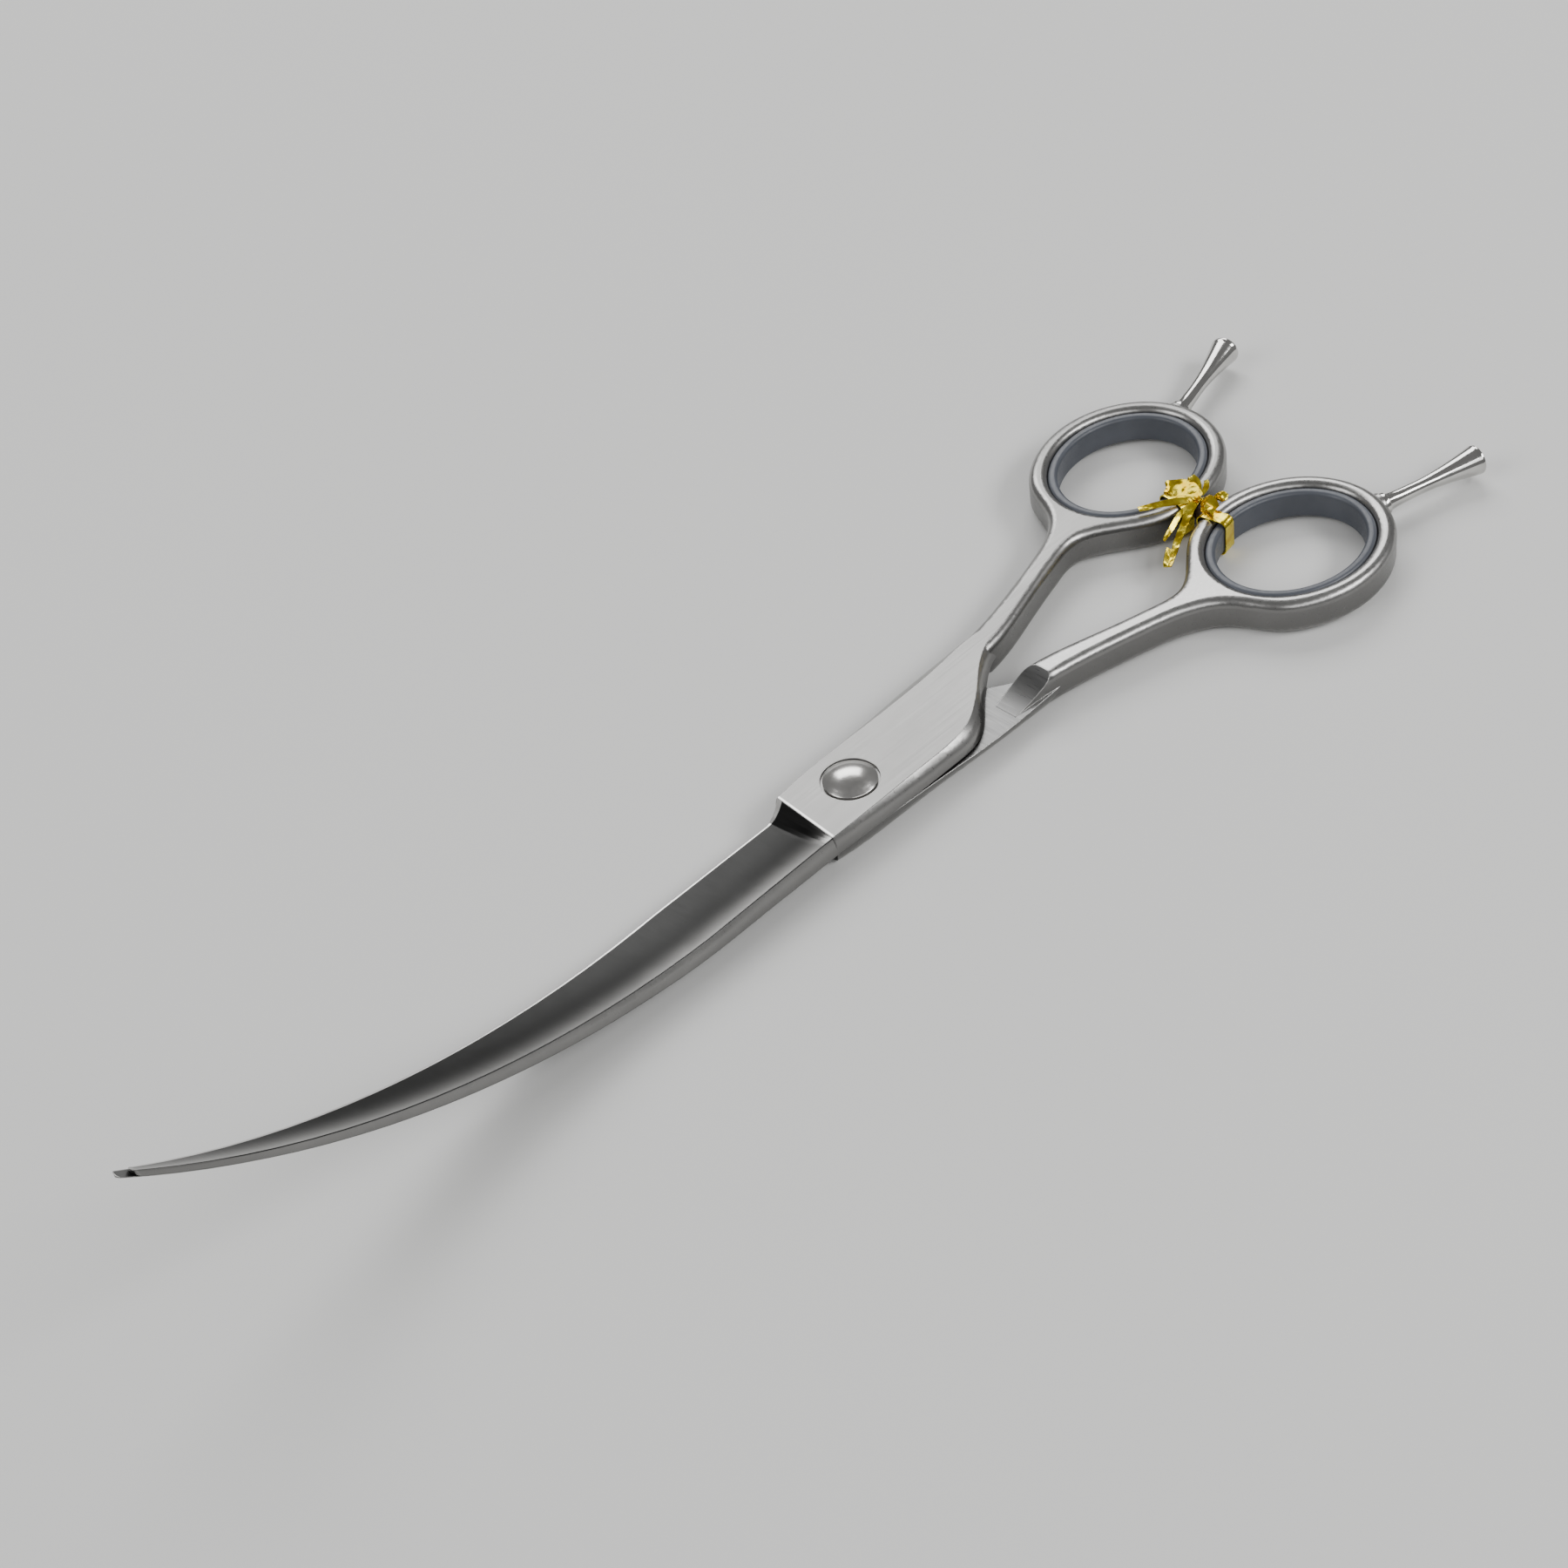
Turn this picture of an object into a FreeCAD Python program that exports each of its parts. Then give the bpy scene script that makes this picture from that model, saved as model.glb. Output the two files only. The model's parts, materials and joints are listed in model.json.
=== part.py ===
import FreeCAD, Part
import math
import os
from FreeCAD import Vector

# Curved grooming and hair cutting shears, closed, lying on their flat side. Millimetres.
# The origin is on the pivot axis, in the plane that the pivot nut rests on.
# +X runs to the blade tips, +Z is up, and the upper half's finger ring is on the -Y side.

# Heights of the two halves
nut_stand = 0.25            # how far the pivot nut stands below the shank
shank_thickness = 2.6       # each half at the pivot
ride_gap = 0.2              # daylight between the two ride faces

# Blades
blade_reach = 113.3         # pivot axis to the upper tip
lower_tip_lead = 1.8        # how far the lower tip passes the upper one
bend_start = 32.5           # radius where the ride faces start to curve upwards
bend_radius = 132.5         # radius of that curve, seen from the side
blade_half_width = 5.3      # at the pivot
tip_half_width = 0.85
blade_shift = 0.75          # closed blades lie this far to the +Y side
spine_bulge = 0.7           # rounded back of the blade, beyond its ridge
lower_spine_inset = 0.6     # lower ridge inside the upper edge
lower_edge_inset = 0.3      # lower cutting edge inside the upper ridge
tip_thickness = 0.95
edge_land = 0.12
hollow_depth = 0.32         # depth of the hollow grind at the heel
nose_radius = 1.15
section_root = 0.9          # how far blade sections run past the ride face before it is cut
heel_x = 8.7                # where the hollow grind starts
heel_skew = 0.9             # the heel line runs this much further forward at the ridge
heel_length = 3.1           # from the heel line to the full depth of the hollow
heel_steps = [0.0, 0.12, 0.3, 0.55, 0.8, 1.0]
heel_overlap = 1.0          # how far the blade is rooted inside the shank
heel_inset = 0.03           # the root lies this far inside the shank's surfaces

# Shank, seen from above: half-way points of its two sides at the ride face and at the outer face
shank_rear = -34.0
edge_side_ride = [(0.0, -6.8), (-10.0, -7.4), (-18.0, -8.0), (-25.0, -8.15), (-30.0, -8.0)]
edge_side_face = [(0.0, -5.9), (-10.0, -5.8), (-18.0, -5.9), (-25.0, -6.3), (-30.0, -6.8)]
edge_front_ride = -5.85
edge_front_face = -5.25
edge_rear_ride = -7.85
edge_rear_face = -6.6
spine_side_ride = [(-31.0, -2.6), (-28.3, -0.9), (-25.4, 1.3), (-22.8, 3.6)]
spine_side_ride += [(-20.4, 5.5), (-17.8, 6.75), (-13.5, 7.2), (-6.5, 7.15), (0.0, 7.05)]
spine_side_face = [(-32.0, -4.2), (-29.6, -3.05), (-26.8, -1.1), (-24.0, 1.2)]
spine_side_face += [(-21.4, 3.05), (-18.3, 4.8), (-14.6, 5.7), (-7.5, 5.9), (0.0, 6.0)]
spine_rear_ride = -3.5
spine_rear_face = -4.95
side_fullness = 0.8         # how much of the side's slope is left to its upper part

# Finger rings and handles
ring_centre_x = -75.4
ring_centre_y = 15.2        # each side of the middle
ring_hole_length = 26.5     # metal opening, along the handle
ring_hole_width = 22.3
ring_wall = 2.75
ring_splay = 5.4            # degrees that each ring turns outwards
handle_root_y = -5.675      # middle of the handle bar at the shank's rear
handle_front_x = -25.0
handle_front_outer = -7.25
handle_front_inner = -3.5
# The bar's two sides: share of the way from its root to the ring's front, and half width there
handle_outer_side = [(0.025, 2.12), (0.369, 1.33), (0.641, 1.09), (0.84, 1.35), (1.003, 2.82)]
handle_inner_side = [(0.87, 3.51), (0.675, 2.66), (0.442, 2.48), (0.207, 2.445), (-0.025, 2.12)]
ring_join_outer = -40.0     # degrees round the ring where the handle's sides run in
ring_join_inner = 36.0
ring_steps = 14             # points that carry the outline round the ring
handle_edge_radius = 1.3
ring_hole_edge_radius = 1.05
ramp_toe_x = -24.0          # where the scooped ramp leaves the ride face
ramp_top_x = -32.4          # where it reaches the handle's full height

# Ring inserts
insert_wall = 1.5
insert_height = 4.5
insert_edge_radius = 0.6

# Pivot
pivot_radius = 2.5
running_clearance = 0.04
head_radius = 3.78
head_rise = 1.35
head_seat_depth = 0.35
head_seat_margin = 0.35
stud_radius = 1.8
nut_radius = 4.0
nut_thickness = 1.0
nut_floor = 0.4             # metal left under the blind thread
nut_recess_margin = 0.3
spring_thickness = 0.28
spring_cone = 0.1
spring_width = 1.5
part_gap = 0.04             # between faces that bear on each other
spanner_hole_radius = 0.5
spanner_hole_offset = 2.95
spanner_hole_depth = 0.6
washer_radius = 5.0
washer_recess = 0.3
washer_margin = 0.1

# Finger rests, screwed into the backs of the rings
rest_station = 188.5        # degrees round the ring
rest_boss_radius = 2.0
rest_boss_rise = 0.5
rest_length = 16.2
rest_foot_radius = 1.42
rest_waist_radius = 1.12
rest_end_radius = 2.25
rest_flank = [(0.0, rest_foot_radius), (0.12, 1.22), (0.3, rest_waist_radius), (0.5, 1.2)]
rest_flank += [(0.72, 1.52), (0.9, 1.94), (1.0, rest_end_radius)]
rest_end_land = 0.5
rest_end_dome = 0.45
rest_thread_radius = 1.0
rest_thread_length = 2.2
rest_thread_margin = 0.3
collar_radius = 1.75
collar_thickness = 0.9

# Rubber bumper between the rings
bumper_radius = 1.35
bumper_stem_radius = 0.8
bumper_stem_length = 1.4
bumper_gap = 0.12           # from the other ring when closed
bumper_angle = 83.8         # degrees round the upper ring, where the rings come closest

# Foil tie round both rings, in two pieces that part at its twist when the shears open
tie_angle = 74.0            # degrees round each ring where the foil is wound
tie_width = 2.2
tie_thickness = 0.16
tie_side_clearance = 0.2
tie_face_clearance = 0.05
twist_radius = 0.5
twist_lap = 0.3             # how far the twist runs over the ring it leaves
twist_split = 0.1           # from the middle plane to each half of the twist
twist_root = 0.7            # along the twist, where the bow and the tails start
bow_lobes = [((0.5, -3.4, 1.6), 1.3), ((-2.4, -1.9, 1.8), 0.95)]
tail_width = 1.2
tail_thickness = 0.3        # two layers of foil
tail_ends = [(4.6, -3.4, 0.3), (9.4, 4.0, -2.6), (5.2, 2.2, -2.4)]

# Heights that follow
bottom_z = nut_stand
ride_low_z = bottom_z + shank_thickness
ride_up_z = ride_low_z + ride_gap
top_z = ride_up_z + shank_thickness
middle_z = (ride_low_z + ride_up_z) / 2.0
body_height = top_z - bottom_z
UP = Vector(0, 0, 1)
ORIGIN = Vector(0, 0, 0)


def save(name, shape):
    """Write one node."""
    shape.exportStep(os.path.join("parts", name + ".step"))


def smooth_edge(points):
    curve = Part.BSplineCurve()
    curve.interpolate(points)
    return curve.toShape()


def straight_edge(start, end):
    return Part.LineSegment(start, end).toShape()


def disc(radius, low, high, x=0.0, y=0.0):
    return Part.makeCylinder(radius, high - low, Vector(x, y, low))


def turned(profile, base, direction):
    """Revolve (radius, distance along) points about an axis."""
    side = direction.cross(UP)
    if side.Length < 1e-6:
        side = Vector(1, 0, 0)
    side.normalize()
    points = [base + side * radius + direction * along for radius, along in profile]
    points.append(points[0])
    face = Part.Face(Part.makePolygon(points))
    return face.revolve(base, direction, 360)


def bend(distance):
    """Rise of a ride face at a distance from the pivot axis."""
    beyond = max(0.0, distance - bend_start)
    return bend_radius - math.sqrt(bend_radius ** 2 - beyond ** 2)


def ride_side(ride_z, above):
    """Everything above or below a curved ride face, as far as the blades reach, as one turned solid."""
    reach = blade_reach + 12.0
    half = bend_start + (reach - bend_start) / 2.0
    limit_z = ride_z + bend(reach) + 5.0 if above else ride_z - 10.0
    inner = Vector(0, 0, ride_z)
    start = Vector(bend_start, 0, ride_z)
    middle = Vector(half, 0, ride_z + bend(half))
    outer = Vector(reach, 0, ride_z + bend(reach))
    far = Vector(reach, 0, limit_z)
    near = Vector(0, 0, limit_z)
    edges = [
        straight_edge(inner, start),
        Part.Arc(start, middle, outer).toShape(),
        straight_edge(outer, far),
        straight_edge(far, near),
        straight_edge(near, inner),
    ]
    return Part.Face(Part.Wire(edges)).revolve(ORIGIN, UP, 360)


def half_width(x):
    """Half the closed blades' width at x."""
    share = max(0.0, (x - bend_start) / (blade_reach - bend_start))
    taper = 0.62 * share + 0.38 * share ** 2
    return blade_half_width - (blade_half_width - tip_half_width) * taper


def ridge_height(x):
    """Height of the blade's ridge above its ride face."""
    share = max(0.0, (x - heel_x) / (blade_reach - heel_x))
    return shank_thickness - (shank_thickness - tip_thickness) * share


def blade_section(x, side):
    """Cross-section of a blade; side is 1 for the upper half and -1 for the lower one."""
    width = half_width(x)
    share = min(1.0, width / blade_half_width)
    ridge = width if side > 0 else width - lower_spine_inset * share
    edge = width if side > 0 else width - lower_edge_inset * share
    ride = (ride_up_z if side > 0 else ride_low_z) + bend(x)
    height = ridge_height(x)
    bulge = spine_bulge * share
    hollow_z = 0.5 * (height + edge_land) - hollow_depth * share
    root_edge = (-edge, -section_root)
    root_spine = (ridge + bulge, -section_root)
    back = (ridge + side_fullness * bulge, height / 2.0)
    crest = (ridge, height)
    hollow = (0.5 * (ridge - edge), hollow_z)
    cutting = (-edge, edge_land)
    corners = [root_edge, root_spine, back, crest, hollow, cutting]
    return [Vector(x, blade_shift + side * y, ride + side * z) for y, z in corners]


def shank_section(side):
    """Just inside the shank's front end, with the same corners as a blade section."""
    ride = ride_up_z if side > 0 else ride_low_z
    edge_ride, edge_face, spine_ride, spine_face = shank_front(side)
    middle = between(spine_ride, spine_face, side_fullness)
    height = shank_thickness - heel_inset
    corners = [
        (edge_ride + heel_inset, -section_root),
        (spine_ride - heel_inset, -section_root),
        (middle - heel_inset, shank_thickness / 2.0),
        (spine_face - heel_inset, height),
        ((edge_face + spine_face) / 2.0, height),
        (edge_face + heel_inset, height),
    ]
    return [
        Vector(heel_line_x(y, side), side * y, ride + side * z)
        for y, z in corners
    ]


def heel_line_x(y, side):
    """The heel line leans forward from the edge side to the spine side."""
    edge_face, spine_face = shank_front(side)[1], shank_front(side)[3]
    return heel_x + heel_skew * (y - edge_face) / (spine_face - edge_face)


def shank_front(side):
    """Distances of the shank's front corners from the pivot line, edge side first."""
    ridge = blade_half_width if side > 0 else blade_half_width - lower_spine_inset
    face = ridge + side * blade_shift
    return edge_front_ride, edge_front_face, face + spine_bulge, face


def section_wire(points):
    root_edge, root_spine, back, crest, hollow, cutting = points
    edges = [
        straight_edge(root_edge, root_spine),
        smooth_edge([root_spine, back, crest]),
        smooth_edge([crest, hollow, cutting]),
        straight_edge(cutting, root_edge),
    ]
    return Part.Wire(edges)


def heel(side):
    """Concave run-out of the hollow grind, from the shank's face down to the blade."""
    front = shank_section(side)
    end = blade_section(heel_x + heel_length, side)
    wires = [section_wire([point - Vector(heel_overlap, 0, 0) for point in front])]
    for share in heel_steps:
        drop = 1.0 - (1.0 - share) ** 2.4
        points = []
        for first, last in zip(front, end):
            point = first + (last - first) * share
            point.z = first.z + (last.z - first.z) * drop
            points.append(point)
        wires.append(section_wire(points))
    return Part.makeLoft(wires, True, True)


def blade(side):
    reach = blade_reach if side > 0 else blade_reach + lower_tip_lead
    straight = [heel_x + heel_length, 17.5, 24.0]
    curved = [bend_start + (reach + 2.0 - bend_start) * step / 8.0 for step in range(9)]
    loft = Part.makeLoft([section_wire(blade_section(x, side)) for x in straight + curved], True)
    loft = loft.fuse(heel(side))
    if side > 0:
        loft = loft.cut(ride_side(ride_up_z, False))
    else:
        loft = loft.cut(ride_side(ride_low_z, True))
    nose_centre = reach - nose_radius
    nose_top = top_z + bend(reach) + 5.0
    block = Part.makeBox(10, 10, nose_top, Vector(nose_centre, blade_shift - 5, 0))
    nose = block.cut(disc(nose_radius, 0, nose_top, nose_centre, blade_shift))
    return loft.cut(nose)


def shank_outline(edge_points, spine_points, edge_ends, spine_ends, z):
    """One level of the shank: edge side, rear, spine side, heel."""
    front = heel_x
    edge_line = [(front, edge_ends[0])] + edge_points + [(shank_rear, edge_ends[1])]
    spine_line = [(shank_rear, spine_ends[0])] + spine_points + [(front + heel_skew, spine_ends[1])]
    edge_side = [Vector(x, y, z) for x, y in edge_line]
    spine_side = [Vector(x, y, z) for x, y in spine_line]
    edges = [
        smooth_edge(edge_side),
        straight_edge(edge_side[-1], spine_side[0]),
        smooth_edge(spine_side),
        straight_edge(spine_side[-1], edge_side[0]),
    ]
    return Part.Wire(edges)


def between(ride_value, face_value, share):
    return face_value + (ride_value - face_value) * share


def blend_points(ride_points, face_points, share):
    return [
        (between(low[0], high[0], share), between(low[1], high[1], share))
        for low, high in zip(ride_points, face_points)
    ]


def shank(side):
    """The flat middle of a half as it lies in the upper one, from its ride face to its outer face."""
    front = shank_front(side)
    levels = []
    for share, z in ((1.0, ride_up_z), (side_fullness, ride_up_z + shank_thickness / 2.0), (0.0, top_z)):
        edge_points = blend_points(edge_side_ride, edge_side_face, share)
        spine_points = blend_points(spine_side_ride, spine_side_face, share)
        edge_front = between(front[0], front[1], share)
        edge_rear = between(edge_rear_ride, edge_rear_face, share)
        spine_rear = between(spine_rear_ride, spine_rear_face, share)
        spine_front = between(front[2], front[3], share)
        levels.append(
            shank_outline(edge_points, spine_points, (edge_front, edge_rear), (spine_rear, spine_front), z)
        )
    return Part.makeLoft(levels, True)


def ring_frame():
    """Centre and the two directions of the upper half's finger ring."""
    turn = math.radians(ring_splay)
    centre = Vector(ring_centre_x, -ring_centre_y, 0)
    along = Vector(math.cos(turn), math.sin(turn), 0)
    across = Vector(-math.sin(turn), math.cos(turn), 0)
    return centre, along, across


def ring_point(degrees, offset=0.0, z=0.0):
    """A point on the ring's hole, moved outwards by offset, with its outward direction."""
    centre, along, across = ring_frame()
    long_half = ring_hole_length / 2.0 + offset
    short_half = ring_hole_width / 2.0 + offset
    angle = math.radians(degrees)
    point = centre + along * (long_half * math.cos(angle)) + across * (short_half * math.sin(angle))
    outward = along * (math.cos(angle) / long_half) + across * (math.sin(angle) / short_half)
    outward.normalize()
    return point + UP * z, outward


def ring_ellipse(offset, z):
    centre, along, across = ring_frame()
    centre = centre + UP * z
    long_half = ring_hole_length / 2.0 + offset
    short_half = ring_hole_width / 2.0 + offset
    return Part.Ellipse(centre + along * long_half, centre + across * short_half, centre)


def ring_prism(offset, low, high):
    wire = Part.Wire([ring_ellipse(offset, low).toShape()])
    return Part.Face(wire).extrude(UP * (high - low))


def edges_at(shape, heights, keep):
    return [
        edge for edge in shape.Edges
        if abs(edge.BoundBox.ZLength) < 1e-4
        and min(abs(edge.BoundBox.ZMin - z) for z in heights) < 1e-4
        and keep(edge)
    ]


def bar_point(share, offset):
    """A point beside the line from the shank's rear to the ring's front; offset is to its +Y side."""
    root = Vector(shank_rear, handle_root_y, bottom_z)
    way = ring_point(0.0, ring_wall, bottom_z)[0] - root
    side = way.cross(UP)
    side.normalize()
    return root + way * share + side * offset


def handle():
    """Bar and finger ring of the upper half, full height, with rounded edges."""
    turn = 360.0 + ring_join_outer - ring_join_inner
    stations = [ring_join_outer - turn * step / ring_steps for step in range(ring_steps + 1)]
    points = [Vector(handle_front_x, handle_front_outer, bottom_z)]
    points += [bar_point(share, -offset) for share, offset in handle_outer_side]
    points += [ring_point(degrees, ring_wall, bottom_z)[0] for degrees in stations]
    points += [bar_point(share, offset) for share, offset in handle_inner_side]
    points.append(Vector(handle_front_x, handle_front_inner, bottom_z))
    outline = Part.Wire([smooth_edge(points), straight_edge(points[-1], points[0])])
    solid = Part.Face(outline).extrude(UP * body_height)
    heights = (bottom_z, top_z)
    around = edges_at(solid, heights, lambda edge: edge.BoundBox.XMin < ring_centre_x)
    solid = solid.makeFillet(handle_edge_radius, around)
    solid = solid.cut(ring_prism(0.0, bottom_z - 1.0, top_z + 1.0))
    rim = edges_at(solid, heights, is_hole_edge)
    return solid.makeFillet(ring_hole_edge_radius, rim)


def is_hole_edge(edge):
    centre = ring_frame()[0]
    box = edge.BoundBox
    near = abs(box.Center.x - centre.x) < 0.5 and abs(box.Center.y - centre.y) < 0.5
    return near and abs(box.XLength - ring_hole_length) < 1.0


def mirrored_low(shape):
    """The lower half's copy of a shape that belongs to the upper half's flat middle."""
    across = shape.mirror(ORIGIN, Vector(0, 1, 0))
    return across.mirror(Vector(0, 0, middle_z), UP)


def mirrored_side(shape):
    return shape.mirror(ORIGIN, Vector(0, 1, 0))


def rest_axis():
    """Seat point and direction of the upper half's finger rest."""
    point, outward = ring_point(rest_station, ring_wall, middle_z)
    return point, outward


def with_rest_boss(solid):
    seat, outward = rest_axis()
    boss = Part.makeCylinder(rest_boss_radius, 1.6 + rest_boss_rise, seat - outward * 1.6, outward)
    depth = rest_thread_length + rest_thread_margin
    face = seat + outward * rest_boss_rise
    bore = Part.makeCylinder(rest_thread_radius + running_clearance, depth, face - outward * depth, outward)
    return solid.fuse(boss).cut(bore)


def half(side):
    """One forged half: blade, shank, handle and finger ring."""
    bar = with_rest_boss(handle())
    if side < 0:
        bar = mirrored_side(bar)
    middle = shank(side)
    if side < 0:
        middle = mirrored_low(middle)
    return bar.cut(ramp_clearance(side)).fuse([middle, blade(side)])


def ramp_clearance(side):
    """What is taken off a handle beyond its ride face: a level cut with a scooped ramp behind it."""
    ride = ride_up_z if side > 0 else ride_low_z
    run = ramp_toe_x - ramp_top_x
    scoop_radius = (run ** 2 + shank_thickness ** 2) / (2.0 * shank_thickness)
    base = ride - 2.0 * shank_thickness if side > 0 else ride
    level = Part.makeBox(60, 60, 2.0 * shank_thickness, Vector(ramp_toe_x, -30, base))
    centre = Vector(ramp_toe_x, -30, ride - side * scoop_radius)
    return level.fuse(Part.makeCylinder(scoop_radius, 60, centre, Vector(0, 1, 0)))


def upper_half():
    solid = half(1)
    solid = solid.cut(disc(pivot_radius + running_clearance, -1, top_z + 1))
    solid = solid.cut(disc(head_radius + head_seat_margin, top_z - head_seat_depth, top_z + 1))
    surface, outward = ring_point(bumper_angle, ring_wall, middle_z)
    depth = bumper_stem_length + 0.2
    pocket = Part.makeCylinder(
        bumper_stem_radius + running_clearance, depth + 1, surface - outward * depth, outward
    )
    return solid.cut(pocket)


def lower_half():
    solid = half(-1)
    recess_top = bottom_z - nut_stand + nut_thickness + spring_thickness + spring_cone + 2 * part_gap
    solid = solid.cut(disc(pivot_radius + running_clearance, -1, top_z + 1))
    solid = solid.cut(disc(nut_radius + nut_recess_margin, -1, recess_top))
    return solid.cut(disc(washer_radius + washer_margin, ride_low_z - washer_recess, ride_low_z + 1))


def pivot_screw():
    """Domed head on the upper half, shoulder through both, stud into the nut."""
    head_low = top_z - head_seat_depth + part_gap
    shoulder_low = nut_thickness + spring_thickness + spring_cone + 2 * part_gap
    stud_low = nut_floor + part_gap
    shoulder = disc(pivot_radius, shoulder_low, head_low + 0.1)
    stud = disc(stud_radius, stud_low, shoulder_low + 0.1)
    rim = disc(head_radius, head_low, top_z)
    ball_radius = (head_radius ** 2 + head_rise ** 2) / (2.0 * head_rise)
    ball = Part.makeSphere(ball_radius, Vector(0, 0, top_z + head_rise - ball_radius))
    dome = ball.common(disc(head_radius, top_z - 0.01, top_z + head_rise + 1))
    return rim.fuse([dome, shoulder, stud]).removeSplitter()


def tension_nut():
    solid = disc(nut_radius, 0, nut_thickness)
    rim = [edge for edge in solid.Edges if edge.BoundBox.ZMax < 1e-6]
    solid = solid.makeChamfer(0.2, rim)
    solid = solid.cut(disc(stud_radius + running_clearance, nut_floor, nut_thickness + 1))
    for way in (-1, 1):
        solid = solid.cut(disc(spanner_hole_radius, -1, spanner_hole_depth, way * spanner_hole_offset))
    return solid


def tension_spring():
    """Dished spring washer between the nut and the lower half."""
    low = nut_thickness + part_gap
    inner = nut_radius - spring_width
    profile = [
        (inner, low + spring_cone),
        (nut_radius, low),
        (nut_radius, low + spring_thickness),
        (inner, low + spring_cone + spring_thickness),
    ]
    return turned(profile, ORIGIN, UP)


def ride_washer():
    low = ride_low_z - washer_recess + part_gap
    high = ride_up_z - part_gap
    ring = disc(washer_radius, low, high)
    return ring.cut(disc(pivot_radius + running_clearance, low - 1, high + 1))


def ring_insert():
    """Soft sleeve in the upper half's finger ring."""
    low = middle_z - insert_height / 2.0
    high = middle_z + insert_height / 2.0
    solid = ring_prism(0.0, low, high).cut(ring_prism(-insert_wall, low - 1, high + 1))
    inner = [
        edge for edge in edges_at(solid, (low, high), lambda edge: True)
        if edge.BoundBox.XLength < ring_hole_length - insert_wall
    ]
    return solid.makeFillet(insert_edge_radius, inner)


def finger_rest():
    """Trumpet-shaped rest with a threaded end, standing on its collar."""
    seat, outward = rest_axis()
    foot = seat + outward * (rest_boss_rise + collar_thickness + 2 * part_gap)
    start = -(collar_thickness + 2 * part_gap + rest_thread_length)
    dome_radius = (rest_end_radius ** 2 + rest_end_dome ** 2) / (2.0 * rest_end_dome)
    dome_angle = math.asin(rest_end_radius / dome_radius)
    dome_base = rest_length + rest_end_land
    dome_centre = dome_base + rest_end_dome - dome_radius
    side = outward.cross(UP)

    def at(radius, along):
        return foot + side * radius + outward * along

    flank = [at(radius, share * rest_length) for share, radius in rest_flank]
    land = at(rest_end_radius, dome_base)
    crown = at(0, dome_base + rest_end_dome)
    half_angle = dome_angle / 2.0
    shoulder = at(dome_radius * math.sin(half_angle), dome_centre + dome_radius * math.cos(half_angle))
    edges = [
        straight_edge(at(0, start), at(rest_thread_radius, start)),
        straight_edge(at(rest_thread_radius, start), at(rest_thread_radius, 0)),
        straight_edge(at(rest_thread_radius, 0), flank[0]),
        smooth_edge(flank),
        straight_edge(flank[-1], land),
        Part.Arc(land, shoulder, crown).toShape(),
        straight_edge(crown, at(0, start)),
    ]
    return Part.Face(Part.Wire(edges)).revolve(foot, outward, 360)


def rest_collar():
    seat, outward = rest_axis()
    base = seat + outward * (rest_boss_rise + part_gap)
    solid = Part.makeCylinder(collar_radius, collar_thickness, base, outward)
    bore = Part.makeCylinder(
        rest_thread_radius + running_clearance, collar_thickness + 2, base - outward, outward
    )
    return solid.cut(bore)


def bumper():
    """Rubber stop pushed into the upper ring, facing the lower one."""
    surface, outward = ring_point(bumper_angle, ring_wall, middle_z)
    reach = 2.0 * (-surface.y) - bumper_gap
    profile = [
        (0, -bumper_stem_length),
        (bumper_stem_radius, -bumper_stem_length),
        (bumper_stem_radius, part_gap),
        (bumper_radius, part_gap + 0.05),
        (bumper_radius, reach - 0.4),
        (bumper_radius - 0.4, reach),
        (0, reach),
    ]
    return turned(profile, surface, outward)


def slab(origin, ways, lows, highs):
    """A box between two offsets along each of three directions."""
    corners = [(lows[0], lows[1]), (highs[0], lows[1]), (highs[0], highs[1]), (lows[0], highs[1])]
    start = origin + ways[2] * lows[2]
    points = [start + ways[0] * first + ways[1] * second for first, second in corners]
    points.append(points[0])
    return Part.Face(Part.makePolygon(points)).extrude(ways[2] * (highs[2] - lows[2]))


def strip(start, end, width, thickness):
    """A flat strip from one point to another."""
    way = end - start
    length = way.Length
    way.normalize()
    across = way.cross(UP)
    across.normalize()
    normal = across.cross(way)
    half_across = width / 2.0
    half_through = thickness / 2.0
    lows = (0.0, -half_across, -half_through)
    highs = (length, half_across, half_through)
    return slab(start, (way, across, normal), lows, highs)


def spindle(start, end, radius):
    """A rounded lobe between two points."""
    way = end - start
    length = way.Length
    way.normalize()
    profile = [(0.0, 0.0), (0.7 * radius, 0.12 * length), (radius, 0.45 * length)]
    profile += [(0.85 * radius, 0.8 * length), (0.0, length)]
    return turned(profile, start, way)


def tie_loop():
    """Foil wound round the upper ring and its insert."""
    point, outward = ring_point(tie_angle)
    tangent = UP.cross(outward)
    ways = (outward, UP, tangent)
    half_width_along = tie_width / 2.0
    inner_low = (-insert_wall - tie_side_clearance, bottom_z - tie_face_clearance, -half_width_along - 1)
    inner_high = (ring_wall + tie_side_clearance, top_z + tie_face_clearance, half_width_along + 1)
    outer_low = (inner_low[0] - tie_thickness, inner_low[1] - tie_thickness, -half_width_along)
    outer_high = (inner_high[0] + tie_thickness, inner_high[1] + tie_thickness, half_width_along)
    return slab(point, ways, outer_low, outer_high).cut(slab(point, ways, inner_low, inner_high))


def tie_knot():
    """Where the twist leaves the top of the upper loop."""
    point = ring_point(tie_angle, ring_wall)[0]
    height = top_z + tie_face_clearance + twist_radius
    start = Vector(point.x, point.y - twist_lap, height)
    return start, Vector(point.x, -twist_split, height)


def tie_twist():
    start, end = tie_knot()
    return Part.makeCylinder(twist_radius, end.y - start.y, start, Vector(0, 1, 0))


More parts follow.
